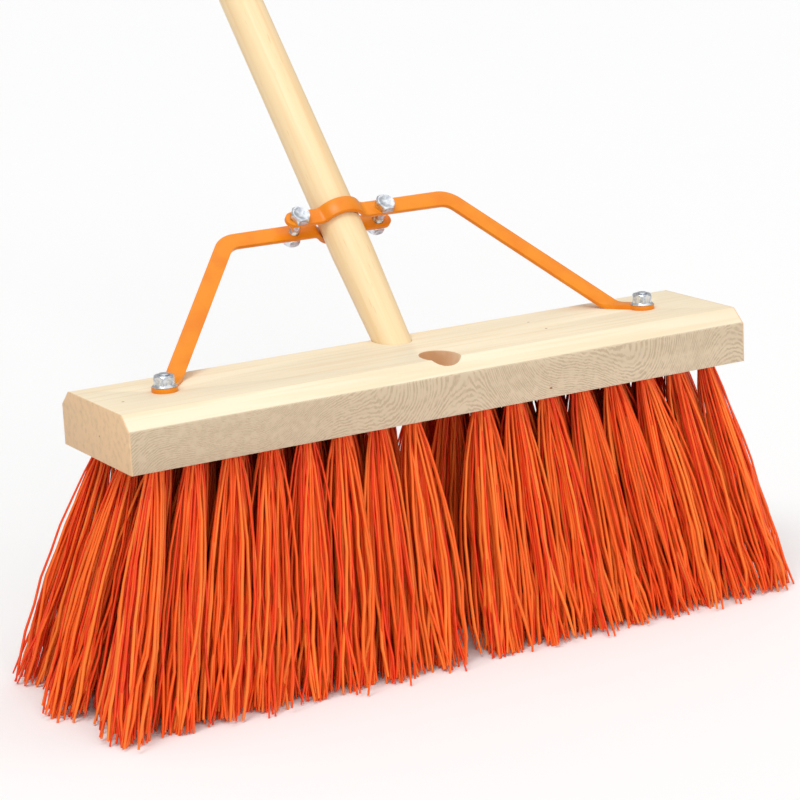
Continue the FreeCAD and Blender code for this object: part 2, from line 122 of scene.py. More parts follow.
class Graph:
    """A node tree that is built by naming each node's kind, settings and inputs."""

    def __init__(self, tree: bpy.types.NodeTree) -> None:
        """Take the tree to build in."""
        self.tree = tree

    def add(self, kind: str, inputs: dict[str | int, Any] | None = None, **settings: Any) -> bpy.types.Node:
        """Add one node.

        Args:
            kind: the node's type name.
            inputs: values or sockets for the node's enabled inputs, by name or by place.
            **settings: properties of the node.

        Returns:
            The new node.
        """
        node = self.tree.nodes.new(kind)
        for name, value in settings.items():
            setattr(node, name, value)
        for key, value in (inputs or {}).items():
            shown = [socket for socket in node.inputs if socket.enabled]
            place = key if isinstance(key, int) else [item.name for item in shown].index(key)
            socket = shown[place]
            if isinstance(value, Socket):
                self.tree.links.new(value, socket)
            else:
                socket.default_value = value
        return node

    def out(self, kind: str, inputs: dict[str | int, Any] | None = None, **settings: Any) -> Socket:
        """Add one node and return its first enabled output, with the arguments of add()."""
        return next(socket for socket in self.add(kind, inputs, **settings).outputs if socket.enabled)

    def maths(self, operation: str, *values: Any) -> Socket:
        """Work out one operation on numbers."""
        return self.out("ShaderNodeMath", dict(enumerate(values)), operation=operation)

    def vector(self, operation: str, *values: Any) -> Socket:
        """Work out one operation on vectors."""
        return self.out("ShaderNodeVectorMath", dict(enumerate(values)), operation=operation)

    def noise(self, place: Any, scale: float, detail: float, distortion: float = 0) -> Socket:
        """Read a noise texture's value.

        Args:
            place: where the texture is read.
            scale: the texture's scale.
            detail: octaves of detail.
            distortion: how far the pattern is bent.

        Returns:
            The value, about 0.5 on average.
        """
        return self.out("ShaderNodeTexNoise", {
            "Vector": place, "Scale": scale, "Detail": detail, "Distortion": distortion})

    def streaks(self, place: Any, stretch: Triple, detail: float, distortion: float = 0) -> Socket:
        """Read a noise texture that has a scale of its own along each axis."""
        return self.noise(self.vector("MULTIPLY", place, stretch), 1.0, detail, distortion)

    def dots(self, place: Any, stretch: Triple) -> Socket:
        """Read the distance to the nearest of scattered points, with a scale along each axis."""
        return self.out("ShaderNodeTexVoronoi", {
            "Vector": self.vector("MULTIPLY", place, stretch), "Scale": 1.0, "Randomness": 1.0})

    def between(self, value: Any, low: float, high: float) -> Socket:
        """Spread a value from 0 to 1 over low to high."""
        return self.out("ShaderNodeMapRange", {"Value": value, "To Min": low, "To Max": high})

    def ramp(self, value: Any, span: Span) -> Socket:
        """Rise from 0 to the span's share as a value runs through the span, with smooth ends."""
        risen = self.out("ShaderNodeMapRange", {"Value": value, "From Min": span.low, "From Max": span.high},
                         interpolation_type="SMOOTHSTEP")
        return risen if span.share == 1 else self.maths("MULTIPLY", risen, span.share)

    def blend(self, share: Any, first: Any, second: Any) -> Socket:
        """Mix two colours.

        Args:
            share: how much of the second colour.
            first: the first colour.
            second: the second colour.

        Returns:
            The mixed colour.
        """
        return self.out("ShaderNodeMix", {"Factor": share, "A": first, "B": second},
                        data_type="RGBA", blend_type="MIX")

    def stain(self, pattern: Any, span: Span, first: Any, second: Any) -> Socket:
        """Let a second colour in over the first where a pattern runs through a span."""
        return self.blend(self.ramp(pattern, span), first, second)


class Shader(Graph):
    """A material's node tree, ending in one principled shader."""

    def __init__(self, name: str) -> None:
        """Start an empty material."""
        self.material = bpy.data.materials.new(name)
        self.material.use_nodes = True
        super().__init__(self.material.node_tree)
        self.tree.nodes.clear()

    def place(self, rotation: Triple = (0, 0, 0)) -> Socket:
        """Return the object's own coordinates, turned."""
        coordinates = self.add("ShaderNodeTexCoord").outputs["Object"]
        return self.out("ShaderNodeMapping", {"Vector": coordinates, "Rotation": rotation})

    def bump(self, height: Any, depth: float, strength: float) -> Socket:
        """Turn a height into a normal, with depth in metres."""
        return self.out("ShaderNodeBump", {"Height": height, "Distance": depth, "Strength": strength})

    def finish(self, **inputs: Any) -> bpy.types.Material:
        """Add the principled shader, with underscores for spaces in its inputs' names.

        Returns:
            The finished material.
        """
        named = {name.replace("_", " "): value for name, value in inputs.items()}
        shader = self.add("ShaderNodeBsdfPrincipled", named)
        self.add("ShaderNodeOutputMaterial", {"Surface": shader.outputs["BSDF"]})
        return self.material


# --- finishes -------------------------------------------------------------------------------------------


@dataclass(frozen=True)
class BlockWood:
    """Planed pale hardwood with a wavy ray figure on its long sides, which carry painted shade: darker than the
    top, and darker still towards the left end.
    """

    pale: Colour = paint_colour(244, 229, 200)
    grain: Colour = paint_colour(238, 218, 184)
    # partly painted shade: the long sides get a darker colour than the top, for the flank's own tone and for the
    # lower light they get
    side: Colour = paint_colour(219, 199, 170)
    ray: Colour = paint_colour(172, 148, 120)
    end: Colour = paint_colour(231, 194, 151)
    bore: Colour = paint_colour(240, 208, 172)
    fleck: Colour = paint_colour(150, 104, 66)
    fibre_stretch: Triple = (10, 210, 210)
    band_stretch: Triple = (2.5, 42, 42)
    fleck_stretch: Triple = (45, 70, 70)
    pore_scale: float = 260
    face_fibres: Span = Span(0.42, 0.72)
    face_bands: Span = Span(0.5, 0.75, 0.45)
    side_bands: Span = Span(0.4, 0.7, 0.2)
    end_pores: Span = Span(0.4, 0.75)
    flecks: Span = Span(0.055, 0.03)
    ripple_waves: Span = Span(0.2, 0.95)
    ripple_breaks: Span = Span(0.25, 0.6)
    ripple_share: float = 0.55
    left_painted_shade_share: float = 0.3
    end_share: float = 0.3
    ripple_stretch: Triple = (0.7, 0.7, 1.0)
    ripple_gap: float = 1.7 * MILLIMETRE
    ripple_turn: float = 260 * MILLIMETRE
    ripple_turn_scale: float = 7
    ripple_break_scale: float = 240
    skin: float = 1.2 * MILLIMETRE
    bore_rim: float = 11.25 * MILLIMETRE
    bore_blur: float = 0.1 * MILLIMETRE
    roughness: tuple[float, float] = (0.5, 0.72)
    relief: float = 0.12 * MILLIMETRE

    def material(self) -> bpy.types.Material:
        """Build the block's material."""
        low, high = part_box("block")
        shader = Shader("block_wood")
        place = shader.place()
        fibres = shader.streaks(place, self.fibre_stretch, detail=5, distortion=0.4)
        bands = shader.streaks(place, self.band_stretch, detail=2, distortion=0.6)
        face = shader.stain(fibres, self.face_fibres, self.pale, self.grain)
        face = shader.stain(bands, self.face_bands, face, self.grain)

        figure = self.ripple(shader, place)
        # The long sides start from a darker colour than the top, partly painted shade.
        flank = shader.blend(shader.maths("MULTIPLY", figure, self.ripple_share), self.side, self.ray)
        flank = shader.stain(bands, self.side_bands, flank, self.ray)
        axes = shader.add("ShaderNodeSeparateXYZ", {0: place}).outputs
        # Painted shade: the long sides darken towards the left end, as though less light fell there.
        flank = shader.stain(axes["X"], Span(high.x / 2, low.x, self.left_painted_shade_share), flank, self.ray)
        depth = shader.maths("ABSOLUTE", axes["Y"])
        reach = shader.maths("ABSOLUTE", axes["X"])
        on_side = shader.ramp(depth, Span(high.y - self.skin, high.y - self.skin / 4))
        on_end = shader.ramp(reach, Span(high.x - self.skin, high.x - self.skin / 4))
        colour = shader.blend(on_side, face, flank)
        pores = shader.noise(place, self.pore_scale, detail=4)
        cut = shader.stain(pores, self.end_pores, self.end, self.ray)
        colour = shader.blend(on_end, colour, shader.blend(self.end_share, self.end, cut))

        colour = shader.stain(shader.dots(place, self.fleck_stretch), self.flecks, colour, self.fleck)
        colour = shader.blend(self.in_bore(shader, place), colour, self.bore)
        relief = shader.maths("ADD", fibres, shader.maths("MULTIPLY", figure, on_side))
        return shader.finish(
            Base_Color=colour,
            Roughness=shader.between(fibres, *self.roughness),
            Normal=shader.bump(relief, self.relief, strength=0.6),
            Specular_IOR_Level=0.32)

    def ripple(self, shader: Shader, place: Socket) -> Socket:
        """Draw the wavy ray figure of the long sides.

        Args:
            shader: the block's node tree.
            place: the object's coordinates.

        Returns:
            1 on a dark ripple and 0 between ripples.
        """
        bands_in_radians = 20
        swirl = shader.noise(place, self.ripple_turn_scale, detail=1)
        turn = shader.maths("MULTIPLY", swirl, self.ripple_turn)
        turned = shader.vector("ADD", shader.vector("MULTIPLY", place, self.ripple_stretch),
                               shader.out("ShaderNodeCombineXYZ", {"Z": turn}))
        waves = shader.out("ShaderNodeTexWave", {
            "Vector": turned,
            "Scale": 2 * math.pi / bands_in_radians / self.ripple_gap,
            "Distortion": 8.0, "Detail": 3, "Detail Scale": 1.3, "Detail Roughness": 0.65,
        }, bands_direction="Z")
        breaks = shader.noise(place, self.ripple_break_scale, detail=3)
        return shader.maths("MULTIPLY", shader.ramp(waves, self.ripple_waves),
                            shader.ramp(breaks, self.ripple_breaks))

    def in_bore(self, shader: Shader, place: Socket) -> Socket:
        """Find the wall of the open handle socket.

        Args:
            shader: the block's node tree.
            place: the object's coordinates.

        Returns:
            1 inside the socket and 0 elsewhere.
        """
        mount = next(item for item in frame["record"]["mounts"] if item["name"] == "spare_socket")
        offset = shader.vector("SUBTRACT", place, Vector(mount["pos_m"]))
        crossed = shader.vector("CROSS_PRODUCT", offset, Vector(mount["axis"]))
        apart = shader.vector("LENGTH", crossed)
        return shader.ramp(apart, Span(self.bore_rim + self.bore_blur, self.bore_rim - self.bore_blur))


@dataclass(frozen=True)
class HandleWood:
    """Turned pale wood with long streaks, lacquered."""

    pale: Colour = paint_colour(243, 215, 168)
    streak: Colour = paint_colour(236, 202, 150)
    deep: Colour = paint_colour(224, 180, 124)
    speck: Colour = paint_colour(120, 76, 44)
    fibre_stretch: Triple = (260, 260, 7)
    band_stretch: Triple = (75, 75, 1.6)
    pore_stretch: Triple = (900, 900, 70)
    speck_stretch: Triple = (60, 60, 22)
    fibres: Span = Span(0.4, 0.75)
    bands: Span = Span(0.5, 0.72, 0.6)
    pores: Span = Span(0.68, 0.78, 0.5)
    specks: Span = Span(0.05, 0.025)
    roughness: tuple[float, float] = (0.38, 0.58)
    relief: float = 0.08 * MILLIMETRE

    def material(self, lean: float) -> bpy.types.Material:
        """Build the material.

        Args:
            lean: the handle's lean back from upright, in radians.

        Returns:
            The handle's material.
        """
        shader = Shader("handle_wood")
        place = shader.place((lean, 0, 0))
        fibres = shader.streaks(place, self.fibre_stretch, detail=5, distortion=0.3)
        bands = shader.streaks(place, self.band_stretch, detail=3, distortion=0.8)
        colour = shader.stain(fibres, self.fibres, self.pale, self.streak)
        colour = shader.stain(bands, self.bands, colour, self.deep)
        pores = shader.streaks(place, self.pore_stretch, detail=1)
        colour = shader.stain(pores, self.pores, colour, self.deep)
        colour = shader.stain(shader.dots(place, self.speck_stretch), self.specks, colour, self.speck)
        return shader.finish(
            Base_Color=colour,
            Roughness=shader.between(fibres, *self.roughness),
            Normal=shader.bump(fibres, self.relief, strength=0.5),
            Coat_Weight=0.15,
            Coat_Roughness=0.35)


@dataclass(frozen=True)
class OrangePaint:
    """Powder coat with a faint orange peel."""

    colour: Colour = paint_colour(234, 138, 8)
    shade: Colour = paint_colour(230, 126, 4)
    cloud_scale: float = 60
    peel_scale: float = 1400
    dust_scale: float = 420
    clouds: Span = Span(0.35, 0.7)
    roughness: tuple[float, float] = (0.24, 0.46)
    relief: float = 0.05 * MILLIMETRE

    def material(self) -> bpy.types.Material:
        """Build the brace's paint."""
        shader = Shader("orange_paint")
        place = shader.place()
        cloud = shader.noise(place, self.cloud_scale, detail=3)
        peel = shader.noise(place, self.peel_scale, detail=2)
        dust = shader.noise(place, self.dust_scale, detail=3)
        return shader.finish(
            Base_Color=shader.stain(cloud, self.clouds, self.colour, self.shade),
            Roughness=shader.between(dust, *self.roughness),
            Normal=shader.bump(peel, self.relief, strength=0.5),
            Specular_IOR_Level=0.35,
            Coat_Weight=0.1,
            Coat_Roughness=0.22)


@dataclass(frozen=True)
class ZincPlate:
    """Bright zinc plating, slightly mottled."""

    bright: Colour = paint_colour(232, 236, 240)
    dull: Colour = paint_colour(190, 196, 206)
    mottle_scale: float = 420
    scratch_stretch: Triple = (3200, 900, 900)
    mottling: Span = Span(0.35, 0.7)
    roughness: tuple[float, float] = (0.18, 0.42)
    relief: float = 0.02 * MILLIMETRE

    def material(self, name: str = "zinc_steel") -> bpy.types.Material:
        """Build the material.

        Args:
            name: the material's name.

        Returns:
            The metal.
        """
        shader = Shader(name)
        place = shader.place()
        mottle = shader.noise(place, self.mottle_scale, detail=4, distortion=0.5)
        scratch = shader.streaks(place, self.scratch_stretch, detail=2)
        return shader.finish(
            Base_Color=shader.stain(mottle, self.mottling, self.bright, self.dull),
            Metallic=1.0,
            Roughness=shader.between(mottle, *self.roughness),
            Normal=shader.bump(scratch, self.relief, strength=0.4))


@dataclass(frozen=True)
class BristlePlastic:
    """Coarse orange plastic filament, each of its own tone, with painted shade that makes it darker and redder
    near the block.
    """

    deep: Colour = paint_colour(238, 57, 11)
    plain: Colour = paint_colour(250, 96, 20)
    bright: Colour = paint_colour(254, 133, 47)
    mottle_stretch: Triple = (500, 500, 60)
    plain_tones: Span = Span(0.0, 0.55)
    bright_tones: Span = Span(0.5, 1.0, 0.85)
    mottling: Span = Span(0.5, 0.75, 0.35)
    painted_root_shade: Span = Span(0.3, 0.0, 0.3)
    roughness: tuple[float, float] = (0.38, 0.6)
    relief: float = 0.1 * MILLIMETRE

    def material(self) -> bpy.types.Material:
        """Build the bristles' material."""
        shader = Shader("bristle")
        place = shader.place()
        tone = shader.add("ShaderNodeAttribute", attribute_name=Bristles.TONE).outputs["Fac"]
        along = shader.add("ShaderNodeAttribute", attribute_name=Bristles.ALONG).outputs["Fac"]
        colour = shader.stain(tone, self.plain_tones, self.deep, self.plain)
        colour = shader.stain(tone, self.bright_tones, colour, self.bright)
        mottle = shader.streaks(place, self.mottle_stretch, detail=3)
        colour = shader.stain(mottle, self.mottling, colour, self.bright)
        # Painted shade: each filament darkens to a deeper red near the block, where the tufts shade each other.
        colour = shader.stain(along, self.painted_root_shade, colour, self.deep)
        return shader.finish(
            Base_Color=colour,
            Roughness=shader.between(mottle, *self.roughness),
            Normal=shader.bump(mottle, self.relief, strength=0.4),
            Specular_IOR_Level=0.4)


# --- meshes ---------------------------------------------------------------------------------------------


def add_object(name: str, data: bpy.types.ID) -> bpy.types.Object:
    """Put an object with the given data in the scene and return it."""
    made = bpy.data.objects.new(name, data)
    bpy.context.scene.collection.objects.link(made)
    return made


def add_piece(name: str, mesh: bpy.types.Mesh, material: bpy.types.Material) -> bpy.types.Object:
    """Put a mesh in the scene as one piece.

    Args:
        name: the piece's name.
        mesh: its mesh, in place.
        material: its material.

    Returns:
        The new object.
    """
    mesh.materials.clear()
    mesh.materials.append(material)
    return add_object(name, mesh)


def smooth_but_edges(mesh: bpy.types.Mesh) -> None:
    """Shade a mesh smooth, but keep its sharper edges."""
    sharp = math.radians(32)
    grid = bmesh.new()
    grid.from_mesh(mesh)
    for face in grid.faces:
        face.smooth = True
    for edge in grid.edges:
        edge.smooth = len(edge.link_faces) == 2 and edge.calc_face_angle(0) < sharp
    grid.to_mesh(mesh)
    grid.free()


def rounded_copy(node: str, name: str, radius: float) -> bpy.types.Mesh:
    """Copy a frame node's mesh, join its loose triangles and round its edges.

    Args:
        node: the node to copy.
        name: the new mesh's name.
        radius: how far the edges are rounded.

    Returns:
        The new mesh.
    """
    joined_within = 0.005 * MILLIMETRE
    flat_within = math.radians(0.5)
    sharp = math.radians(40)
    mesh = frame["nodes"][node].data.copy()
    grid = bmesh.new()
    grid.from_mesh(mesh)
    bmesh.ops.remove_doubles(grid, verts=grid.verts, dist=joined_within)
    bmesh.ops.dissolve_limit(grid, angle_limit=flat_within, verts=grid.verts, edges=grid.edges)
    for layer in list(grid.loops.layers.uv):
        grid.loops.layers.uv.remove(layer)
    grid.to_mesh(mesh)
    grid.free()
    if mesh.attributes.get("custom_normal"):
        mesh.attributes.remove(mesh.attributes["custom_normal"])
    holder = add_object(name + "_blank", mesh)
    bevel = holder.modifiers.new("edges", "BEVEL")
    bevel.width = radius
    bevel.segments = 2
    bevel.limit_method = "ANGLE"
    bevel.angle_limit = sharp
    finished = settled_mesh(holder, name)
    smooth_but_edges(finished)
    return finished


def settled_mesh(holder: bpy.types.Object, name: str) -> bpy.types.Mesh:
    """Apply an object's modifiers and keep only the mesh.

    Args:
        holder: the object, which is removed.
        name: the new mesh's name.

    Returns:
        The evaluated mesh.
    """
    bpy.context.view_layer.update()
    evaluated = holder.evaluated_get(bpy.context.evaluated_depsgraph_get())
    mesh = bpy.data.meshes.new_from_object(evaluated)
    bpy.data.objects.remove(holder)
    mesh.name = name
    return mesh


def ring_solid(name: str, rings: Rings, looped: bool) -> bpy.types.Mesh:
    """Skin a stack of rings that have the same number of points.

    Args:
        name: the mesh's name.
        rings: the rings in order.
        looped: whether the last ring joins the first, as round a bore. Otherwise both ends are capped.

    Returns:
        A closed mesh whose faces point outwards.
    """
    grid = bmesh.new()
    rows = [[grid.verts.new(point) for point in ring] for ring in rings]
    count = len(rows[0])
    after_each = rows[1:] + rows[:1] if looped else rows[1:]
    for lower, upper in zip(rows, after_each):
        for index in range(count):
            after = (index + 1) % count
            grid.faces.new((lower[index], lower[after], upper[after], upper[index]))
    if not looped:
        grid.faces.new(reversed(rows[0]))
        grid.faces.new(rows[-1])
    bmesh.ops.recalc_face_normals(grid, faces=grid.faces)
    mesh = bpy.data.meshes.new(name)
    grid.to_mesh(mesh)
    grid.free()
    return mesh


# --- wooden parts ---------------------------------------------------------------------------------------


@dataclass
class WoodenBlock:
    """The board that holds the tufts, with its edges broken by sanding."""

    edge_radius: float = 0.9 * MILLIMETRE
    wood: BlockWood = field(default_factory=BlockWood)

    def build(self) -> bpy.types.Object:
        """Make the board and return it as one piece."""
        mesh = rounded_copy("block", "wooden_block", self.edge_radius)
        piece = add_piece("wooden_block", mesh, self.wood.material())
        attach(piece, Body.HEAD.value)
        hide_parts("block")
        return piece


@dataclass
class Handle:
    """The turned handle, whose frame node is already the right shape."""

    wood: HandleWood = field(default_factory=HandleWood)

    def lean(self) -> float:
        """Work out the handle's lean from its joint's axis, in radians."""
        axis = next(joint for joint in frame["joints"] if joint["child"] == Body.HANDLE.value)["axis"]
        return math.atan2(axis[1], axis[2])

    def build(self) -> bpy.types.Object:
        """Dress the frame's own handle and return it."""
        piece = frame["nodes"]["handle"]
        piece.data.materials.clear()
        piece.data.materials.append(self.wood.material(self.lean()))
        return piece


# --- brace ----------------------------------------------------------------------------------------------


@dataclass
class Brace:
    """The two bent strap arms."""

    edge_radius: float = 0.45 * MILLIMETRE
    paint: OrangePaint = field(default_factory=OrangePaint)

    def build(self) -> list[bpy.types.Object]:
        """Make both arms and return them as pieces."""
        material = self.paint.material()
        pieces = []
        for side in Side:
            node = "brace_arm_" + side.value
            name = "strap_" + side.value
            piece = add_piece(name, rounded_copy(node, name, self.edge_radius), material)
            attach(piece, Body.HEAD.value)
            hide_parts(node)
            pieces.append(piece)
        return pieces


# --- fasteners ------------------------------------------------------------------------------------------


@dataclass
class Seat:
    """Where a fastener sits: the low end of its axis, the axis and its length."""

    foot: Vector
    axis: Vector
    length: float

    @classmethod
    def of_node(cls, node: str, axis: Vector) -> "Seat":
        """Measure a frame node along an axis that is square to X.

        Args:
            node: the node.
            axis: the direction of its axis, as a unit vector.

        Returns:
            The node's seat.
        """
        across = Vector((1, 0, 0))
        aside = axis.cross(across)
        places = [vertex.co for vertex in frame["nodes"][node].data.vertices]

        def span(direction: Vector) -> tuple[float, float]:
            """Return the least and the greatest reach along a direction."""
            reaches = [place.dot(direction) for place in places]
            return min(reaches), max(reaches)

        low, high = span(axis)
        foot = axis * low + across * (sum(span(across)) / 2) + aside * (sum(span(aside)) / 2)
        return cls(foot, axis, high - low)

    def matrix(self) -> Matrix:
        """Return the transform from the fastener's own frame, along Z, to its place."""
        across = Vector((1, 0, 0))
        aside = self.axis.cross(across)
        turn = Matrix((across, aside, self.axis)).transposed().to_4x4()
        return Matrix.Translation(self.foot) @ turn


def longest_axis(node: str) -> Vector:
    """Find the direction in which a frame node is longest.

    Args:
        node: the node.

    Returns:
        A unit vector, pointing up.
    """
    vertices = frame["nodes"][node].data.vertices
    cloud = np.array(sorted({tuple(round(value, 6) for value in vertex.co) for vertex in vertices}))
    direction = Vector(np.linalg.svd(cloud - cloud.mean(0))[2][0])
    return direction if direction.z > 0 else -direction


@dataclass
class Fasteners:
    """Hexagon head and round head bolts with cut threads, and plain and flange nuts."""

    flats: float = 11.1 * MILLIMETRE
    face_share: float = 0.96
    washer_share: float = 0.97
    washer_height: float = 0.25 * MILLIMETRE
    mark_depth: float = 0.18 * MILLIMETRE
    mark_shares: tuple[float, float] = (0.8, 0.74)
    shank_radius: float = 3.175 * MILLIMETRE
    tip_share: float = 0.92
    thread_pitch: float = 1.27 * MILLIMETRE
    thread_depth: float = 0.42 * MILLIMETRE
    rings_a_turn: int = 6
    clamp_thread_share: float = 0.6
    foot_thread: float = 14 * MILLIMETRE
    bore_gap: float = 0.16 * MILLIMETRE
    bore_sink: float = 0.35 * MILLIMETRE
    head_height: float = 4.4 * MILLIMETRE
    head_dome: float = 1.4 * MILLIMETRE
    dome_angles: tuple[float, ...] = (12, 30, 48, 66, 84, 90)
    foot_head_radius: float = 8.0 * MILLIMETRE
    foot_head_height: float = 3.0 * MILLIMETRE
    flange_radius: float = 7.0 * MILLIMETRE
    flange_height: float = 1.8 * MILLIMETRE
    flange_lip: float = 0.5 * MILLIMETRE
    flange_steps: int = 4
    corner_drop: float = 1.1 * MILLIMETRE
    corner_steps: int = 4
    around: int = 48
    plating: ZincPlate = field(default_factory=ZincPlate)

    def circle(self, radius: float, height: float) -> list[Vector]:
        """Return a round ring."""
        return self.ring(lambda angle: radius, height)

    def ring(self, reach: Callable[[float], float], height: float) -> list[Vector]:
        """Return a ring whose radius depends on the angle.

        Args:
            reach: radius at an angle.
            height: the ring's height.

        Returns:
            The ring's points.
        """
        angles = [2 * math.pi * index / self.around for index in range(self.around)]
        return [Vector((reach(angle) * math.cos(angle), reach(angle) * math.sin(angle), height))
                for angle in angles]

    def hexagon(self, angle: float) -> float:
        """Return the radius of the hexagon at an angle, with a corner at zero."""
        sector = math.pi / 3
        return self.flats / 2 / math.cos(angle % sector - sector / 2)

    def hexagon_rings(self, low: float, high: float, low_chamfer: bool) -> Rings:
        """Return the rings of a hexagon whose corners are turned off at its ends.

        Args:
            low: height of the lower end.
            high: height of the upper end.
            low_chamfer: whether the lower end is turned off too.

        Returns:
            The rings, upwards.
        """
        corner = self.flats / math.sqrt(3)
        face = self.flats / 2 * self.face_share
        turned = [step / self.corner_steps for step in range(self.corner_steps + 1)]

        def cone(share: float, height: float) -> list[Vector]:
            """Return one ring of the turned end, from its face at 0 to its full corners at 1."""
            limit = face + (corner - face) * share
            return self.ring(lambda angle: min(self.hexagon(angle), limit), height)

        lower = [self.ring(self.hexagon, low)]
        if low_chamfer:
            lower = [cone(share, low + self.corner_drop * share) for share in turned]
        return lower + [cone(share, high - self.corner_drop * share) for share in reversed(turned)]

    def thread_rings(self, low: float, high: float) -> Rings:
        """Return the rings of a threaded stretch.

        Args:
            low: height of its lower end.
            high: height of its upper end.

        Returns:
            The rings, upwards.
        """
        steps = max(2, round((high - low) / (self.thread_pitch / self.rings_a_turn)))
        rings = []
        for step in range(steps + 1):
            height = low + (high - low) * step / steps
            fade = min(1.0, (height - low) / self.thread_pitch, (high - height) / self.thread_pitch)

            def reach(angle: float) -> float:
                """Follow the helix: a full turn rises by one pitch."""
                turn = (height / self.thread_pitch - angle / (2 * math.pi)) % 1
                return self.shank_radius - self.thread_depth * fade * abs(2 * turn - 1)

            rings.append(self.ring(reach, height))
        return rings

    def shank_rings(self, length: float, threaded: float) -> Rings:
        """Return the rings of a shank that stands on its turned end, with a thread above it.

        Args:
            length: height where it meets the head.
            threaded: length of the thread.

        Returns:
            The rings, upwards.
        """
        tip = self.shank_radius - self.thread_depth
        start = self.thread_depth
        rings = [self.circle(tip * self.tip_share, 0), self.circle(tip, start / 3)]
        rings += self.thread_rings(start, start + threaded)
        return rings + [self.circle(self.shank_radius, length)]

    def clamp_bolt(self, length: float) -> Rings:
        """Return the rings of a hexagon head bolt, head up.

        Args:
            length: the bolt's whole length.

        Returns:
            The rings, upwards.
        """
        under = length - self.head_height
        seat = under + self.washer_height
        washer = self.flats / 2 * self.washer_share
        face = self.flats / 2 * self.face_share
        rim, sunk = self.mark_shares
        rings = self.shank_rings(under, under * self.clamp_thread_share)
        rings += [self.circle(washer, under), self.circle(washer, seat)]
        rings += self.hexagon_rings(seat, length, False)
        return rings + [self.circle(face * rim, length), self.circle(face * sunk, length - self.mark_depth)]

    def bored(self, outside: Rings, length: float) -> Rings:
        """Close a nut's outside rings through its bore.

        Args:
            outside: the outside rings, upwards.
            length: height of the nut.

        Returns:
            A loop of rings.
        """
        bore = self.shank_radius + self.bore_gap
        mouth = bore + self.bore_sink
        return outside + [self.circle(mouth, length), self.circle(bore, length - self.bore_sink),
                          self.circle(bore, self.bore_sink), self.circle(mouth, 0)]

    def clamp_nut(self, length: float) -> Rings:
        """Return the rings of a plain nut."""
        return self.bored(self.hexagon_rings(0, length, True), length)

    def foot_nut(self, length: float) -> Rings:
        """Return the rings of a flange nut, flange down."""
        lip = self.flange_lip
        flange = [self.circle(self.flange_radius - lip / 2, 0), self.circle(self.flange_radius, lip / 2),
                  self.circle(self.flange_radius, lip)]
        for step in range(1, self.flange_steps + 1):
            share = step / self.flange_steps
            limit = self.flange_radius + (self.flats / 2 - self.flange_radius) * share
            height = lip + (self.flange_height - lip) * share
            flange.append(self.ring(lambda angle: max(self.hexagon(angle), limit), height))
        return self.bored(flange + self.hexagon_rings(self.flange_height, length, False)[1:], length)

    def foot_bolt(self, length: float) -> Rings:
        """Return the rings of a round head bolt, head down."""
        rings = [self.circle(self.foot_head_radius * math.sin(turn),
                             self.head_dome * (1 - math.cos(turn)))
                 for turn in map(math.radians, self.dome_angles)]
        rings.append(self.circle(self.foot_head_radius, self.foot_head_height))
        shank = self.shank_rings(length - self.foot_head_height, self.foot_thread)
        return rings + [[Vector((point.x, point.y, length - point.z)) for point in ring]
                        for ring in reversed(shank)]

    def build(self) -> list[bpy.types.Object]:
        """Make all eight fasteners and return them as pieces."""
        material = self.plating.material()
        upright = Vector((0, 0, 1))
        clamp_axis = longest_axis("clamp_bolt_left")
        kinds = (("clamp_bolt", clamp_axis, self.clamp_bolt, False),
                 ("clamp_nut", clamp_axis, self.clamp_nut, True),
                 ("foot_bolt", upright, self.foot_bolt, False),
                 ("foot_nut", upright, self.foot_nut, True))
        pieces = []
        for kind, axis, rings, looped in kinds:
            for side in Side:
                node = f"{kind}_{side.value}"
                name = "zinc_" + node
                seat = Seat.of_node(node, axis)
                mesh = ring_solid(name, rings(seat.length), looped)
                mesh.transform(seat.matrix())
                smooth_but_edges(mesh)
                piece = add_piece(name, mesh, material)
                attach(piece, Body.HEAD.value)
                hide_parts(node)
                pieces.append(piece)
        return pieces


# --- bristles -------------------------------------------------------------------------------------------


class FilamentGraph(Graph):
    """The node tree that grows a row of tufts from one point at each tuft's root."""

    INPUTS = {"Filaments": "Int", "Seed": "Int", "Root radius": "Float", "Tip radius": "Float",
              "Plug depth": "Float", "Thickness": "Float", "Bow": "Float", "Kink": "Float",
              "Scatter": "Float", "Unevenness": "Float", "Material": "Material"}

    def __init__(self) -> None:
        """Start the tree with its inputs and its output."""
        tree = bpy.data.node_groups.new("bristle_row", "GeometryNodeTree")
        super().__init__(tree)
        tree.interface.new_socket("Geometry", in_out="INPUT", socket_type="NodeSocketGeometry")
        tree.interface.new_socket("Geometry", in_out="OUTPUT", socket_type="NodeSocketGeometry")
        self.identifiers: dict[str, str] = {}
        for name, kind in self.INPUTS.items():
            socket = tree.interface.new_socket(name, in_out="INPUT", socket_type="NodeSocket" + kind)
            self.identifiers[name] = socket.identifier
        self.given = self.add("NodeGroupInput").outputs

    def chance(self, low: Any, high: Any, salt: int, kind: str = "FLOAT") -> Socket:
        """Draw a random value for each element, different for each salt and each row."""
        seed = self.maths("ADD", self.given["Seed"], salt)
        return self.out("FunctionNodeRandomValue", {"Min": low, "Max": high, "Seed": seed}, data_type=kind)

    def sideways(self, salt: int, rise: float = 0) -> Socket:
        """Draw a random offset of up to 1 along X and Y, and up to the rise along Z."""
        return self.chance((-1, -1, -rise), (1, 1, rise), salt, "FLOAT_VECTOR")

    def named(self, name: str, kind: str = "FLOAT_VECTOR") -> Socket:
        """Read a stored attribute."""
        return self.out("GeometryNodeInputNamedAttribute", {"Name": name}, data_type=kind)

    def stored(self, geometry: Any, name: str, value: Any, kind: str = "FLOAT_VECTOR") -> Socket:
        """Store an attribute on points."""
        return self.out("GeometryNodeStoreNamedAttribute", {
            "Geometry": geometry, "Name": name, "Value": value}, data_type=kind, domain="POINT")


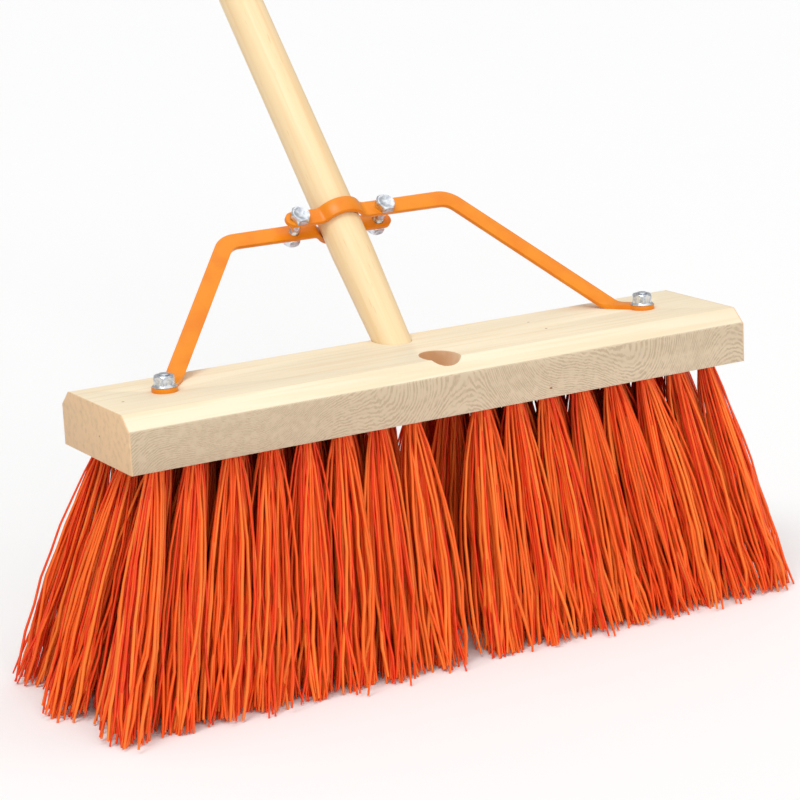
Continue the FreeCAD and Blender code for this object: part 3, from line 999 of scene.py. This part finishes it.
@dataclass
class Bristles:
    """Five rows of tufts, each tuft a bundle of wavy filaments that opens towards the floor."""

    TONE = "tone"
    ALONG = "along"
    TIP = "tip"
    ROOT = "root"
    BEND = "bend"
    PACKED = "packed"
    OPENED = "opened"

    filaments: int = 64
    points: int = 11
    root_radius: float = 4.6 * MILLIMETRE
    tip_radius: float = 14.0 * MILLIMETRE
    plug_depth: float = 12.0 * MILLIMETRE
    thickness: float = 1.02 * MILLIMETRE
    bow: float = 6.0 * MILLIMETRE
    kink: float = 1.5 * MILLIMETRE
    kink_rise: float = 0.4
    kink_limit: float = 0.9
    scatter: float = 4.5 * MILLIMETRE
    unevenness: float = 5.5 * MILLIMETRE
    trim_power: float = 2.2
    turn_scatter: float = 0.35
    opening: tuple[float, float] = (0.7, 1.12)
    stray_above: float = 0.92
    stray_opening: float = 0.45
    lean_power: float = 1.05
    growth_power: float = 0.58
    body_widths: tuple[float, float] = (0.72, 1.05)
    own_widths: tuple[float, float] = (0.8, 1.2)
    point_start: float = 0.93
    point_width: float = 0.6
    sides: int = 4
    seed_step: int = 100
    tuft_gap: float = 4 * MILLIMETRE
    floor_slack: float = 1 * MILLIMETRE
    left_lean: float = 8.0 * MILLIMETRE
    left_bulge: float = 9.0 * MILLIMETRE
    right_lean: float = 7.0 * MILLIMETRE
    closing: float = 22.0 * MILLIMETRE
    closing_reach: float = 42.0 * MILLIMETRE
    plastic: BristlePlastic = field(default_factory=BristlePlastic)

    def columns(self, row: int) -> list[float]:
        """Find where a row's tufts stand along X, from the groups that its wire anchors make.

        Args:
            row: the row's number, from 1.

        Returns:
            The middle of each group, in order.
        """
        groups: list[list[float]] = []
        for reach in sorted(vertex.co.x for vertex in frame["nodes"][f"tuft_anchors_{row}"].data.vertices):
            if groups and reach - groups[-1][-1] < self.tuft_gap:
                groups[-1].append(reach)
            else:
                groups.append([reach])
        return [(group[0] + group[-1]) / 2 for group in groups]

    def roots_and_tips(self, row: int) -> list[tuple[Vector, Vector]]:
        """Find where each tuft of a row leaves the block and where it meets the floor.

        Args:
            row: the row's number, from 1.

        Returns:
            Pairs of root and tip.
        """
        low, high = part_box(f"tuft_anchors_{row}")
        across = (low.y + high.y) / 2
        places = self.columns(row)
        floor = [vertex.co for vertex in frame["nodes"][f"tuft_row_{row}"].data.vertices
                 if vertex.co.z < self.floor_slack]
        front, back = min(place.y for place in floor), max(place.y for place in floor)
        radius = (back - front) / 2
        spread = (max(place.x for place in floor) - radius) / places[-1]
        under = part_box("block")[0].z
        middle = (TUFT_ROWS + 1) / 2
        bulge = self.left_bulge * (1 - ((row - middle) / (TUFT_ROWS - middle)) ** 2)

        def worn(place: float) -> float:
            """Return how far use has pushed a tuft's tip along X."""
            share = place / places[-1]
            if place < 0:
                return self.left_lean * share + bulge * share ** 3
            return -self.right_lean * share - self.closing * math.exp(-place / self.closing_reach)

        return [(Vector((place, across, under)),
                 Vector((place * spread + worn(place), (front + back) / 2, 0)))
                for place in places]

    def seeds(self, row: int) -> bpy.types.Object:
        """Make an object with one vertex at each tuft's root, which knows its tip."""
        pairs = self.roots_and_tips(row)
        mesh = bpy.data.meshes.new("tuft_seeds")
        mesh.from_pydata([root for root, _ in pairs], [], [])
        tips = mesh.attributes.new(self.TIP, "FLOAT_VECTOR", "POINT")
        tips.data.foreach_set("vector", [value for _, tip in pairs for value in tip])
        return add_object("tuft_seeds", mesh)

    def tree(self) -> FilamentGraph:
        """Build the node tree that grows a row of tufts from its seeds."""
        graph = FilamentGraph()
        laid, below = self.lay(graph, self.sow(graph))
        graph.add("NodeGroupOutput", {0: self.thicken(graph, laid, below)})
        return graph

    def sow(self, graph: FilamentGraph) -> Socket:
        """Put one point at the root for each filament, which stores where the filament goes.

        Args:
            graph: the tree to build in.

        Returns:
            The points.
        """
        # Each tuft's filaments are spread over a disc, the same way at the root and at the tip.
        given = graph.given
        seeds = graph.out("GeometryNodeMeshToPoints", {"Mesh": given["Geometry"]})
        copies = graph.add("GeometryNodeDuplicateElements", {
            "Geometry": seeds, "Amount": given["Filaments"]}, domain="POINT")
        count = copies.outputs["Duplicate Index"]
        angle = graph.maths("ADD", graph.maths("MULTIPLY", count, GOLDEN_ANGLE),
                            graph.chance(-self.turn_scatter, self.turn_scatter, 1))
        share = graph.maths("DIVIDE", graph.maths("ADD", count, 0.5), given["Filaments"])
        reach = graph.maths("SQRT", share)
        disc = graph.out("ShaderNodeCombineXYZ", {
            "X": graph.maths("MULTIPLY", graph.maths("COSINE", angle), reach),
            "Y": graph.maths("MULTIPLY", graph.maths("SINE", angle), reach)})
        packed = graph.vector("SCALE", disc, given["Root radius"])

        # One filament in twelve strays well outside its tuft.
        strays = graph.maths("GREATER_THAN", graph.chance(0.0, 1.0, 2), self.stray_above)
        widen = graph.maths("ADD", graph.chance(*self.opening, 3),
                            graph.maths("MULTIPLY", strays, self.stray_opening))
        opened = graph.vector("SCALE", disc, graph.maths("MULTIPLY", given["Tip radius"], widen))
        loose = graph.vector("SCALE", graph.sideways(4), given["Scatter"])
        trim = graph.maths("MULTIPLY", graph.maths("POWER", graph.chance(0.0, 1.0, 5), self.trim_power),
                           given["Unevenness"])
        tip = graph.vector("ADD", graph.named(self.TIP),
                           graph.vector("ADD", loose, graph.out("ShaderNodeCombineXYZ", {"Z": trim})))
        bend = graph.vector("SCALE", graph.sideways(6), given["Bow"])
        points = copies.outputs["Geometry"]
        for name, value in ((self.ROOT, graph.out("GeometryNodeInputPosition")), (self.PACKED, packed),
                            (self.OPENED, opened), (self.TIP, tip), (self.BEND, bend)):
            points = graph.stored(points, name, value)
        return graph.stored(points, self.TONE, graph.chance(0.0, 1.0, 7), "FLOAT")

    def lay(self, graph: FilamentGraph, points: Socket) -> tuple[Socket, Socket]:
        """Run a bent line from each point to its tip.

        Args:
            graph: the tree to build in.
            points: one point for each filament.

        Returns:
            The lines, and how far below the block each of their points is, from 0 to 1 at the tip.
        """
        line = graph.out("GeometryNodeResampleCurve", {
            "Curve": graph.out("GeometryNodeCurvePrimitiveLine"), "Count": self.points})
        lines = graph.out("GeometryNodeRealizeInstances", {
            "Geometry": graph.out("GeometryNodeInstanceOnPoints", {"Points": points, "Instance": line})})

        # The first step of each line is in its hole, and the rest goes from the root to the tip.
        factor = graph.add("GeometryNodeSplineParameter").outputs["Factor"]
        hidden = 1 / (self.points - 1)
        past = graph.maths("DIVIDE", graph.maths("SUBTRACT", factor, hidden), 1 - hidden)
        short = graph.maths("DIVIDE", graph.maths("SUBTRACT", hidden, factor), hidden)
        below = graph.maths("MAXIMUM", past, 0.0)
        above = graph.maths("MAXIMUM", short, 0.0)
        start = graph.named(self.ROOT)
        run = graph.vector("SUBTRACT", graph.named(self.TIP), start)
        lean = graph.maths("POWER", below, self.lean_power)
        shares = graph.out("ShaderNodeCombineXYZ", {"X": lean, "Y": lean, "Z": below})
        inner = graph.named(self.PACKED)
        growth = graph.vector("SCALE", graph.vector("SUBTRACT", graph.named(self.OPENED), inner),
                              graph.maths("POWER", below, self.growth_power))
        swell = graph.maths("SINE", graph.maths("MULTIPLY", below, math.pi))
        waver = graph.maths("MULTIPLY", graph.given["Kink"], graph.maths("MINIMUM", below, self.kink_limit))
        lift = graph.maths("MULTIPLY", above, graph.given["Plug depth"])
        path = start
        for step in (graph.vector("MULTIPLY", run, shares),
                     graph.vector("ADD", inner, growth),
                     graph.vector("SCALE", graph.named(self.BEND), swell),
                     graph.vector("SCALE", graph.sideways(8, self.kink_rise), waver),
                     graph.out("ShaderNodeCombineXYZ", {"Z": lift})):
            path = graph.vector("ADD", path, step)
        laid = graph.out("GeometryNodeSetPosition", {"Geometry": lines, "Position": path})
        return graph.stored(laid, self.ALONG, below, "FLOAT"), below

    def thicken(self, graph: FilamentGraph, laid: Socket, below: Socket) -> Socket:
        """Turn the lines into filaments, each a little thicker or thinner and pointed at its tip.

        Args:
            graph: the tree to build in.
            laid: the lines.
            below: how far below the block each of their points is.

        Returns:
            The finished geometry.
        """
        body = graph.between(below, *self.body_widths)
        point = graph.out("ShaderNodeMapRange", {
            "Value": below, "From Min": self.point_start, "From Max": 1.0,
            "To Min": 1.0, "To Max": self.point_width})
        width = graph.maths("MULTIPLY", graph.maths("MULTIPLY", body, point), graph.given["Thickness"])
        own = graph.between(graph.named(self.TONE, "FLOAT"), *self.own_widths)
        profile = graph.out("GeometryNodeCurvePrimitiveCircle", {"Resolution": self.sides, "Radius": 1.0})
        tubes = graph.out("GeometryNodeCurveToMesh", {
            "Curve": laid, "Profile Curve": profile, "Scale": graph.maths("MULTIPLY", width, own),
            "Fill Caps": True})
        smooth = graph.out("GeometryNodeSetShadeSmooth", {"Geometry": tubes})
        real = graph.out("GeometryNodeRealizeInstances", {"Geometry": smooth})
        return graph.out("GeometryNodeSetMaterial", {"Geometry": real, "Material": graph.given["Material"]})

    def build(self) -> list[bpy.types.Object]:
        """Grow every row and return one piece for each."""
        graph = self.tree()
        values = {"Filaments": self.filaments, "Root radius": self.root_radius,
                  "Tip radius": self.tip_radius, "Plug depth": self.plug_depth,
                  "Thickness": self.thickness, "Bow": self.bow, "Kink": self.kink,
                  "Scatter": self.scatter, "Unevenness": self.unevenness,
                  "Material": self.plastic.material()}
        pieces = []
        for row in range(1, TUFT_ROWS + 1):
            name = f"bristles_{row}"
            holder = self.seeds(row)
            modifier = holder.modifiers.new("filaments", "NODES")
            modifier.node_group = graph.tree
            for key, value in (values | {"Seed": self.seed_step * row}).items():
                modifier[graph.identifiers[key]] = value
            mesh = settled_mesh(holder, name)
            for scratch in (self.TIP, self.ROOT, self.BEND, self.PACKED, self.OPENED):
                if mesh.attributes.get(scratch):
                    mesh.attributes.remove(mesh.attributes[scratch])
            piece = add_piece(name, mesh, values["Material"])
            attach(piece, Body.HEAD.value)
            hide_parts(f"tuft_row_{row}")
            pieces.append(piece)
        return pieces


@dataclass
class Anchors:
    """The wire anchors that hold the tufts, whose frame nodes are already the right shape."""

    plating: ZincPlate = field(default_factory=ZincPlate)

    def build(self) -> list[bpy.types.Object]:
        """Dress the frame's own anchors and return them."""
        material = self.plating.material("anchor_wire")
        pieces = [frame["nodes"][f"tuft_anchors_{row}"] for row in range(1, TUFT_ROWS + 1)]
        for piece in pieces:
            piece.data.materials.clear()
            piece.data.materials.append(material)
        return pieces


# --- studio ---------------------------------------------------------------------------------------------


def direction_from(azimuth: float, elevation: float) -> Vector:
    """Return the direction towards a viewer or a lamp.

    Args:
        azimuth: the side, turned from the front towards +X, in radians.
        elevation: the height above the floor, in radians.

    Returns:
        A unit vector away from the broom.
    """
    level = math.cos(elevation)
    return Vector((math.sin(azimuth) * level, -math.cos(azimuth) * level, math.sin(elevation)))


@dataclass(frozen=True)
class Sun:
    """One distant soft light, with its angles in degrees and its power on a square metre in watts.

    The azimuth is turned from the front towards +X.
    """

    name: str
    azimuth: float
    elevation: float
    power: float
    spread: float


@dataclass
class Studio:
    """Pale floor, soft light and the camera."""

    aim: Triple = (-0.0365, -0.0434, 0.1546)
    distance: float = 1.5
    azimuth: float = math.radians(-29.56)
    elevation: float = math.radians(13.68)
    roll: float = math.radians(2.765)
    lens: float = 120.375
    sensor: float = 36.0
    view_end: float = 50.0
    floor_reach: float = 14.0
    floor_colour: Colour = paint_colour(248, 248, 248)
    floor_shade: Colour = paint_colour(235, 235, 235)
    floor_shade_share: float = 0.02
    sky_strength: float = 0.45
    suns: tuple[Sun, ...] = (Sun("key", -62, 62, 1.2, 30), Sun("top", 70, 75, 0.6, 60),
                             Sun("front", -10, 24, 0.85, 40))

    def build(self) -> None:
        """Set up the floor, the lights, the world and the camera."""
        self.add_floor()
        self.add_world()
        for sun in self.suns:
            self.add_sun(sun)
        self.add_camera()

    def add_floor(self) -> None:
        """Lay a plain pale floor under the tips."""
        reach = self.floor_reach
        mesh = bpy.data.meshes.new("floor")
        corners = [(-reach, -reach, 0), (reach, -reach, 0), (reach, reach, 0), (-reach, reach, 0)]
        mesh.from_pydata(corners, [], [(0, 1, 2, 3)])
        shader = Shader("floor")
        tint = shader.maths("MULTIPLY", shader.noise(shader.place(), 3, detail=2), self.floor_shade_share)
        colour = shader.blend(tint, self.floor_colour, self.floor_shade)
        floor = add_piece("floor", mesh, shader.finish(Base_Color=colour, Roughness=0.8))

    def add_world(self) -> None:
        """Light the scene evenly from all round."""
        world = bpy.data.worlds.new("studio")
        world.use_nodes = True
        background = world.node_tree.nodes["Background"]
        background.inputs["Color"].default_value = (1, 1, 1, 1)
        background.inputs["Strength"].default_value = self.sky_strength
        bpy.context.scene.world = world
        bpy.context.scene.view_settings.view_transform = "Standard"

    def add_sun(self, sun: Sun) -> None:
        """Add one distant soft light.

        Args:
            sun: where it stands and how strong it is.
        """
        lamp = bpy.data.lights.new(sun.name, "SUN")
        lamp.energy = sun.power
        lamp.angle = math.radians(sun.spread)
        towards = direction_from(math.radians(sun.azimuth), math.radians(sun.elevation))
        add_object(sun.name, lamp).rotation_euler = towards.to_track_quat("Z", "Y").to_euler()

    def add_camera(self) -> None:
        """Stand the camera at its azimuth, elevation and roll round the aim."""
        back = direction_from(self.azimuth, self.elevation)
        level = Vector((math.cos(self.azimuth), math.sin(self.azimuth), 0))
        upright = back.cross(level)
        right = level * math.cos(self.roll) - upright * math.sin(self.roll)
        lens = bpy.data.cameras.new("camera")
        lens.lens = self.lens
        lens.sensor_width = self.sensor
        lens.clip_end = self.view_end
        camera = add_object("camera", lens)
        turn = Matrix((right, back.cross(right), back)).transposed().to_4x4()
        camera.matrix_world = Matrix.Translation(Vector(self.aim) + back * self.distance) @ turn
        bpy.context.scene.camera = camera


def main() -> None:
    """Build the broom and the studio, and report each piece."""
    logging.basicConfig(level=logging.INFO, format="%(name)s: %(message)s")
    Studio().build()
    made = [WoodenBlock().build(), Handle().build()]
    made += Brace().build()
    made += Fasteners().build()
    made += Bristles().build()
    made += Anchors().build()
    for piece in made:
        LOG.info("%s: %d faces", piece.name, len(piece.data.polygons))


if __name__ == "__main__":
    main()
